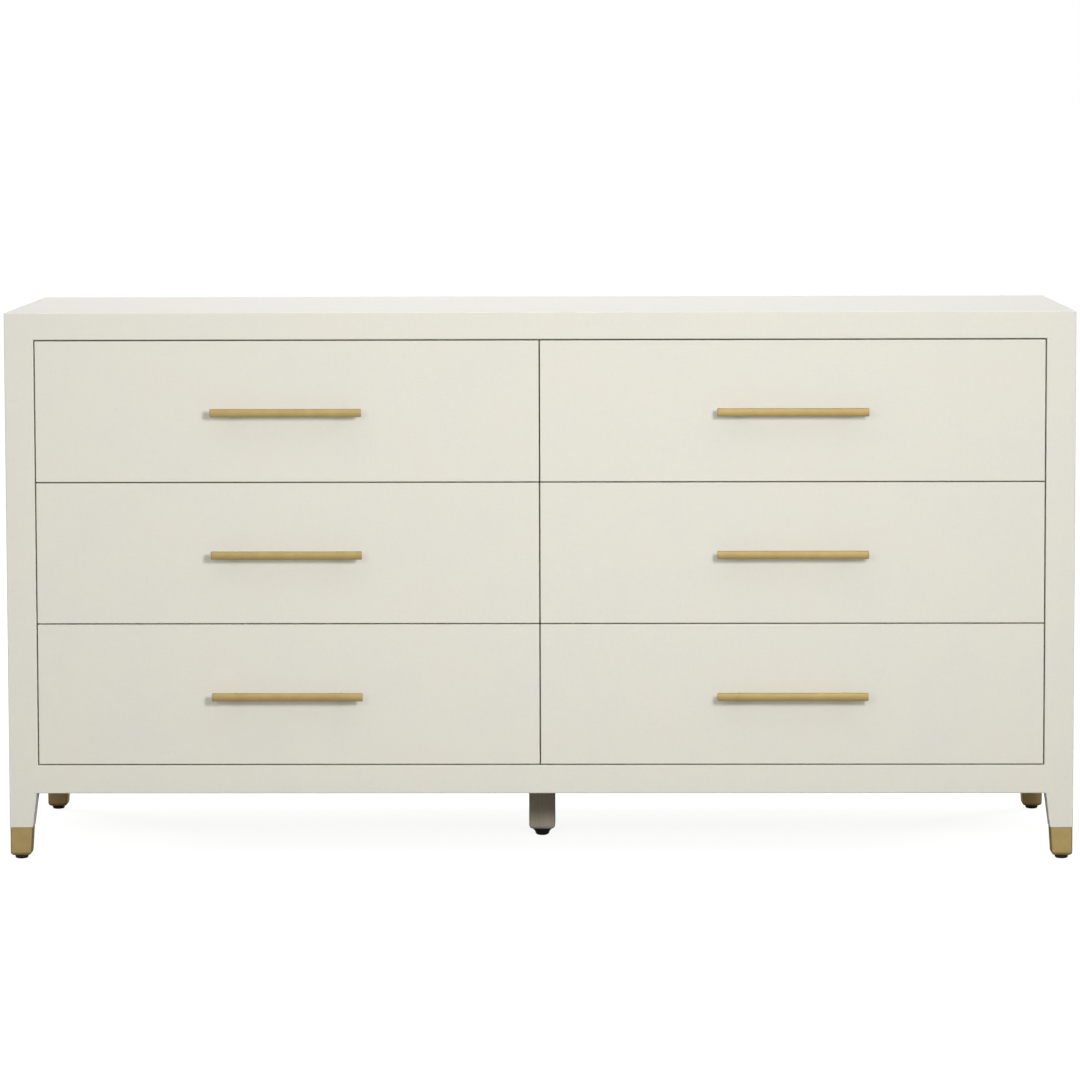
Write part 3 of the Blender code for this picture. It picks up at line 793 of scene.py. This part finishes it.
def make_centre_leg():
    """A straight painted leg, rounded in towards its foot, and its levelling foot."""
    low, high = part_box("leg_centre")
    middle = ((low.x + high.x) / 2, (low.y + high.y) / 2)
    rings = [round_ring(middle, BORE_RADIUS, BORE_TOP), round_ring(middle, BORE_RADIUS, low.z)]
    for inset, rise in rounding(CENTRE_LEG_FOOT_RADIUS):
        outline = rounded_rectangle(
            (low.x + inset, low.y + inset), (high.x - inset, high.y - inset),
            max(CENTRE_LEG_RADIUS, inset),
        )
        rings.append([(x, y, low.z + rise) for x, y in outline])
    rings.append([(x, y, high.z) for x, y in outline])
    bm = bmesh.new()
    loft(bm, rings)
    make_piece(bm, "leg_centre_painted", "case", "undercoat", [UNDERCOAT], ["leg_centre"])
    make_leveller("centre", middle, centre_pad_profile(low.z - FIT_GAP))


# Back panel


def ring_about_y(middle, radius, depth, sides_of_hexagon=False):
    """A ring of points that faces along Y, round or six-sided."""
    ring = []
    for step in range(SCREW_SIDES):
        angle = 2 * math.pi * step / SCREW_SIDES
        reach = radius
        if sides_of_hexagon:
            reach = radius / math.cos((angle % (math.pi / 3)) - math.pi / 6)
        x, z = middle[0] + reach * math.cos(angle), middle[1] + reach * math.sin(angle)
        ring.append((x, depth, z))
    return ring


def add_screw(bm, x, z, face_y, radius, flat=False):
    """A screw head with a six-sided socket, seen from +Y: domed on a face, or flat and sunk."""
    middle = (x, z)
    socket = radius * SOCKET_SHARE
    if flat:
        top = face_y - FIT_GAP
        profile = ((radius * 0.4, top - radius * 0.7), (radius * 0.97, top))
    else:
        top = face_y + radius * 0.52
        profile = (
            (radius, face_y - FIT_GAP),
            (radius, face_y + radius * 0.12),
            (radius * 0.92, face_y + radius * 0.30),
            (radius * 0.76, face_y + radius * 0.44),
            (radius * 0.56, top),
        )
    rings = [ring_about_y(middle, size, y) for size, y in profile]
    rings.append(ring_about_y(middle, socket, top, sides_of_hexagon=True))
    rings.append(ring_about_y(middle, socket, top - radius * 0.4, sides_of_hexagon=True))
    loft(bm, rings)


def back_screw_places():
    """Screws round the back panel's edge and up its middle, into the partition."""
    left, right = BACK_LOW.x + BACK_SCREW_INSET, BACK_HIGH.x - BACK_SCREW_INSET
    bottom, top = BACK_LOW.z + BACK_SCREW_ABOVE_BOTTOM, BACK_HIGH.z - BACK_SCREW_INSET
    places = []
    rows = round((top - bottom) / BACK_SCREW_SPACING)
    for row in range(rows + 1):
        height = bottom + row * (top - bottom) / rows
        places += [(left, height), (0.0, height), (right, height)]
    across = round((right - left) / 2 / BACK_SCREW_SPACING)
    for step in range(1, across):
        reach = step * right / across
        for side in (-1, 1):
            places.append((side * reach, top))
            places.append((side * reach, bottom))
    return places


def make_back_panel():
    """The back sheet with a cone sunk for each screw, and the screws."""
    sheet, sinks, screws = bmesh.new(), bmesh.new(), bmesh.new()
    eased_box(sheet, BACK_LOW, BACK_HIGH, BOARD_EASE, 1)
    beyond = 0.001
    for x, z in back_screw_places():
        add_screw(screws, x, z, BACK_Y, BACK_SCREW_RADIUS, flat=True)
        loft(sinks, [
            ring_about_y((x, z), SINK_POINT_RADIUS, BACK_Y - SINK_DEPTH),
            ring_about_y((x, z), SINK_RADIUS, BACK_Y - FIT_GAP / 2),
            ring_about_y((x, z), SINK_RADIUS, BACK_Y + beyond),
        ])
    bmesh.ops.recalc_face_normals(sinks, faces=sinks.faces)
    panel = subtract(sheet, sinks)
    make_piece(panel, "back_panel_sheet", "case", "board", [BACK_SHEET], ["back_panel"])
    make_piece(screws, "back_panel_screws", "case", None, [STEEL])


# Drawers


def make_drawer_front(place):
    """A wrapped board with rounded edges."""
    low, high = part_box(f"drawer_front_{place}")
    bm = bmesh.new()
    eased_box(bm, low, high, FRONT_RADIUS)
    make_piece(
        bm, f"drawer_front_{place}_wrapped", f"drawer_{place}", "cream_wrap", [CREAM_WRAP],
        [f"drawer_front_{place}"],
    )


def tail_heights(bottom, top):
    """Where pins and tails meet, at the end of a drawer side and at the tails' roots."""
    pitch = (top - bottom) / TAILS
    ends, roots = [bottom], [bottom]
    for tail in range(TAILS):
        middle = bottom + (tail + 0.5) * pitch
        half = pitch * TAIL_SHARE / 2
        for side in (-1, 1):
            ends.append(middle + side * half)
            roots.append(middle + side * (half - TAIL_FLARE))
    return ends + [top], roots + [top]


def add_tailed_side(bm, x_low, x_high, front, back, bottom, top):
    """A drawer side, whose front end is cut into dovetails. Its outline is drawn out along X."""
    ends, roots = tail_heights(bottom, top)
    root_y = front + BOX_BOARD
    outline = [(back, top), (back, bottom), (root_y, bottom)]
    for index in range(1, len(ends) - 1):
        points = [(root_y, roots[index]), (front, ends[index])]
        outline += points if index % 2 else reversed(points)
    outline.append((root_y, top))
    loft(bm, [[(x, y, z) for y, z in outline] for x in (x_low, x_high)])


def pin_heights(heights):
    """The same heights with every pin made slimmer by the joint's gap above and below."""
    bottom, *between, top = heights
    slimmer = [z + (JOINT_GAP if index % 2 else -JOINT_GAP) for index, z in enumerate(between)]
    return [bottom] + slimmer + [top]


def add_pinned_front(bm, x_low, x_high, front, bottom, top):
    """The board behind the drawer front. Its pins reach out between the tails of both sides.

    The gap round the pins keeps the boards' corners apart, so that each board stays closed.
    """
    ends, roots = (pin_heights(heights) for heights in tail_heights(bottom, top))
    root_y = front + BOX_BOARD - JOINT_GAP
    reach = BOX_BOARD + JOINT_GAP
    inner = [bm.verts.new((x, y, z))
             for x in (x_low + reach, x_high - reach)
             for y, heights in ((front, ends), (root_y, roots))
             for z in heights]
    count = len(ends)
    left_front, left_root, right_front, right_root = (
        inner[start:start + count] for start in range(0, 4 * count, count)
    )
    last = count - 1
    bm.faces.new((left_front[0], left_root[0], right_root[0], right_front[0]))
    bm.faces.new((left_front[last], left_root[last], right_root[last], right_front[last]))
    for index in range(last):
        after = index + 1
        for left, right in ((left_front, right_front), (left_root, right_root)):
            bm.faces.new((left[index], left[after], right[after], right[index]))
        for near, far, x in (
            (left_front, left_root, x_low), (right_front, right_root, x_high)
        ):
            section = [near[index], near[after], far[after], far[index]]
            if index % 2:
                bm.faces.new(section)
                continue
            tip = [bm.verts.new((x, vert.co.y, vert.co.z)) for vert in section]
            bm.faces.new(tip)
            for corner in range(4):
                bm.faces.new((section[corner - 1], section[corner], tip[corner], tip[corner - 1]))


def make_drawer_box(place):
    """Two dovetailed sides, a pinned front and a back that ends above the drawer's bottom."""
    low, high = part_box(f"drawer_box_{place}")
    bottom_of_back = low.z + BOTTOM_TOP + FIT_GAP
    bm = bmesh.new()
    for x in (low.x, high.x - BOX_BOARD):
        add_tailed_side(bm, x, x + BOX_BOARD, low.y, high.y, low.z, high.z)
    for face in bm.faces:
        face.material_index = 1
    add_pinned_front(bm, low.x, high.x, low.y, low.z, high.z)
    add_box(
        bm, (low.x + BOX_BOARD + JOINT_GAP, high.y - BOX_BOARD, bottom_of_back),
        (high.x - BOX_BOARD - JOINT_GAP, high.y, high.z),
    )
    bmesh.ops.recalc_face_normals(bm, faces=bm.faces)
    piece = make_piece(
        bm, f"drawer_box_{place}_dovetailed", f"drawer_{place}", "box_wood",
        [BOX_ALONG_X, BOX_ALONG_Y], [f"drawer_box_{place}"],
    )
    ease = piece.modifiers.new("eased_edges", "BEVEL")
    ease.width = BOARD_EASE
    ease.segments = 2
    ease.limit_method = "ANGLE"


def make_drawer_fixings(place):
    """The heads of the pull's two bolts and of the four screws that hold the front on."""
    body = f"drawer_{place}"
    box_low, box_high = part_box(f"drawer_box_{place}")
    pull_low, pull_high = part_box(f"pull_{place}")
    middle_x = (pull_low.x + pull_high.x) / 2
    middle_z = (pull_low.z + pull_high.z) / 2
    face_y = box_low.y + BOX_BOARD
    bm = bmesh.new()
    for side in (-1, 1):
        bolt_x = middle_x + side * POST_SPACING / 2
        add_screw(bm, bolt_x, middle_z - POST_DROP, face_y, PULL_SCREW_RADIUS)
        screw_x = middle_x + side * (box_high.x - box_low.x) * FRONT_SCREW_REACH
        for height in (box_low.z + FRONT_SCREW_ABOVE_BOTTOM, box_high.z - FRONT_SCREW_BELOW_TOP):
            add_screw(bm, screw_x, height, face_y, FRONT_SCREW_RADIUS)
    make_piece(bm, f"drawer_fixings_{place}", body, None, [STEEL])


def bar_section(front, middle_z, height, inset):
    """The bar's outline drawn in by an inset: a crowned front, a flat back and eased corners."""
    half = height / 2
    arc_radius = (half**2 + BAR_CROWN**2) / (2 * BAR_CROWN)
    reach = math.asin((half - BAR_EDGE_RADIUS) / arc_radius)
    section = []
    for step in range(BAR_STEPS + 1):
        angle = reach * (2 * step / BAR_STEPS - 1)
        y = front + arc_radius - (arc_radius - inset) * math.cos(angle)
        section.append((y, middle_z + (arc_radius - inset) * math.sin(angle)))
    crown_end_y, crown_end_z = section[-1]
    back = front + BAR_DEPTH - inset
    top = half - inset
    corner = min(top - (crown_end_z - middle_z), BAR_EDGE_RADIUS)
    front_ease, back_ease = FRONT_CORNER_EASE * corner, BACK_CORNER_EASE * BAR_EDGE_RADIUS
    edge = [
        (crown_end_y + front_ease, top - front_ease),
        (crown_end_y + corner, top),
        (back - BAR_EDGE_RADIUS, top),
        (back - back_ease, top - back_ease),
        (back, top - BAR_EDGE_RADIUS),
    ]
    section += [(y, middle_z + z) for y, z in edge]
    section += [(y, middle_z - z) for y, z in reversed(edge)]
    return section


def make_pull(place):
    """A thin bar with a crowned front, its ends rounded over, and two posts with coved feet."""
    low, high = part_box(f"pull_{place}")
    middle_x, middle_z = (low.x + high.x) / 2, (low.z + high.z) / 2
    bm = bmesh.new()
    rings = []
    for side in (-1, 1):
        steps = rounding(BAR_END_RADIUS, 4)
        for inset, along in steps if side < 0 else reversed(steps):
            x = middle_x + side * ((high.x - low.x) / 2 - along)
            section = bar_section(low.y, middle_z, high.z - low.z, inset)
            rings.append([(x, y, z) for y, z in section])
    loft(bm, rings)
    for side in (-1, 1):
        middle = (middle_x + side * POST_SPACING / 2, middle_z - POST_DROP)
        rings = [ring_about_y(middle, POST_RADIUS, low.y + BAR_DEPTH)]
        for inset, along in reversed(rounding(POST_COVE, 3)):
            rings.append(ring_about_y(middle, POST_RADIUS + POST_COVE - along, high.y - inset))
        rings.append(ring_about_y(middle, POST_RADIUS + POST_COVE, high.y))
        loft(bm, rings)
    make_piece(
        bm, f"pull_{place}_brushed", f"drawer_{place}", "brass", [BRASS_LENGTHWAYS],
        [f"pull_{place}"],
    )


def paint(node_names, material):
    """Gives CAD nodes whose shape is right a finished material."""
    for name in node_names:
        for material_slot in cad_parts[name].material_slots:
            material_slot.material = material


make_case()
for end_name, end_side in ENDS:
    for column_name, column_side in COLUMNS:
        leg_place = f"{end_name}_{column_name}"
        make_corner_leg(leg_place, column_side, end_side)
        make_ferrule(leg_place, column_side, end_side)
        make_leveller(leg_place, foot_axis(column_side, end_side), corner_pad_profile())
make_centre_leg()
make_back_panel()
paint(["bottom_panel", "divider_upper", "divider_lower", "back_bottom_rail"], BOARD_ALONG_X)
paint(["centre_partition"], BOARD_UPRIGHT)
for row_name in ROWS:
    for column_name, _ in COLUMNS:
        drawer_place = f"{row_name}_{column_name}"
        make_drawer_front(drawer_place)
        make_drawer_box(drawer_place)
        make_drawer_fixings(drawer_place)
        make_pull(drawer_place)
        paint([f"drawer_bottom_{drawer_place}"], BOX_ALONG_X)
        paint([f"runner_{drawer_place}", f"guide_rail_{drawer_place}"], HARDWOOD)


# Studio


def make_floor():
    """A pale floor, which the camera sees almost as bright as the background, with soft shadows.

    The object is lit by a darker one, as if it stood on a table in a large room.
    """
    material, tree, shader = new_material("pale_floor")
    cloud = noise(tree, place_node(tree), 1.5, detail=3.0)
    feed(tree, shader, {
        "Base Color": mixed(tree, cloud, FLOOR_SEEN_DARK, FLOOR_SEEN_LIGHT),
        "Roughness": 0.9,
        "Specular IOR Level": 0.0,
        "Emission Color": (*WHITE, 1.0),
        "Emission Strength": FLOOR_GLOW,
    })
    dark = add_node(tree, "ShaderNodeBsdfDiffuse", {"Color": (*FLOOR_UNSEEN, 1.0)})
    camera_ray = add_node(tree, "ShaderNodeLightPath").outputs["Is Camera Ray"]
    inputs = {0: camera_ray, 1: dark.outputs[0], 2: shader.outputs[0]}
    both = add_node(tree, "ShaderNodeMixShader", inputs)
    tree.links.new(both.outputs[0], tree.nodes["Material Output"].inputs["Surface"])
    bm = bmesh.new()
    bmesh.ops.create_grid(bm, x_segments=1, y_segments=1, size=FLOOR_REACH)
    mesh = bpy.data.meshes.new("floor")
    bm.to_mesh(mesh)
    bm.free()
    mesh.materials.append(material)
    floor = bpy.data.objects.new("floor", mesh)
    bpy.context.scene.collection.objects.link(floor)


def make_world():
    """A white background, and a sky that lights the object: dimmer at the horizon than overhead."""
    world = bpy.data.worlds.new("studio")
    world.use_nodes = True
    tree = world.node_tree
    direction = add_node(tree, "ShaderNodeTexCoord").outputs["Generated"]
    height = add_node(tree, "ShaderNodeSeparateXYZ", {0: direction}).outputs["Z"]
    inputs = {"Value": height, 1: 0.0, 2: 1.0, 3: SKY_AT_HORIZON, 4: SKY_OVERHEAD}
    brightness = add_node(tree, "ShaderNodeMapRange", inputs).outputs[0]
    sky = add_node(tree, "ShaderNodeBackground", {"Strength": brightness})
    backdrop = tree.nodes["Background"]
    for node in (sky, backdrop):
        node.inputs["Color"].default_value = (*WHITE, 1.0)
    camera_ray = add_node(tree, "ShaderNodeLightPath").outputs["Is Camera Ray"]
    inputs = {0: camera_ray, 1: sky.outputs[0], 2: backdrop.outputs[0]}
    both = add_node(tree, "ShaderNodeMixShader", inputs)
    tree.links.new(both.outputs[0], tree.nodes["World Output"].inputs["Surface"])
    bpy.context.scene.world = world


def make_light(name, place, target, size, power, tint=WHITE):
    """A rectangular area light that the camera doesn't see, turned towards its target."""
    data = bpy.data.lights.new(name, "AREA")
    data.shape = "RECTANGLE"
    data.size, data.size_y = size
    data.energy = power
    data.color = tint
    light = bpy.data.objects.new(name, data)
    light.location = place
    light.rotation_euler = (Vector(target) - Vector(place)).to_track_quat("-Z", "Y").to_euler()
    light.visible_camera = False
    bpy.context.scene.collection.objects.link(light)


def make_camera():
    """The camera, at the photograph's viewing angle."""
    data = bpy.data.cameras.new("camera")
    data.lens = CAMERA_LENS
    data.shift_y = CAMERA_SHIFT
    camera = bpy.data.objects.new("camera", data)
    turn = Matrix.Rotation(CAMERA_TURN, 4, "Z")
    tilt = Matrix.Rotation(math.pi / 2 - CAMERA_TILT, 4, "X")
    roll = Matrix.Rotation(CAMERA_ROLL, 4, "Z")
    camera.matrix_world = Matrix.Translation(CAMERA_PLACE) @ (turn @ tilt) @ roll
    bpy.context.scene.collection.objects.link(camera)
    bpy.context.scene.camera = camera


make_floor()
make_world()
make_light(
    "key", place=(0.85, -3.2, 1.34), target=(-1.4, FRONT_Y, MIDDLE_HEIGHT),
    size=(0.5, 0.5), power=KEY_POWER,
)
make_light(
    "fill", place=(-1.0, -3.7, 1.35), target=(0.0, FRONT_Y, MIDDLE_HEIGHT),
    size=(0.6, 0.6), power=FILL_POWER,
)
make_light(
    "overhead", place=(0.2, -1.5, 2.3), target=(0.0, FRONT_Y + 0.1, 0.7),
    size=(2.4, 1.0), power=OVERHEAD_POWER, tint=COOL,
)
make_light(
    "crown", place=(0.0, 0.5, 2.6), target=(0.0, 0.1, 0.8),
    size=(2.4, 0.6), power=CROWN_POWER, tint=COOL,
)
for rear_name, rear_x in (("rear_left", -3.5), ("rear_right", 3.5)):
    make_light(
        rear_name, place=(rear_x, 2.2, 1.15), target=(0.0, 0.0, MIDDLE_HEIGHT),
        size=(1.2, 0.6), power=REAR_POWER,
    )
make_camera()
bpy.context.scene.view_settings.view_transform = "Standard"
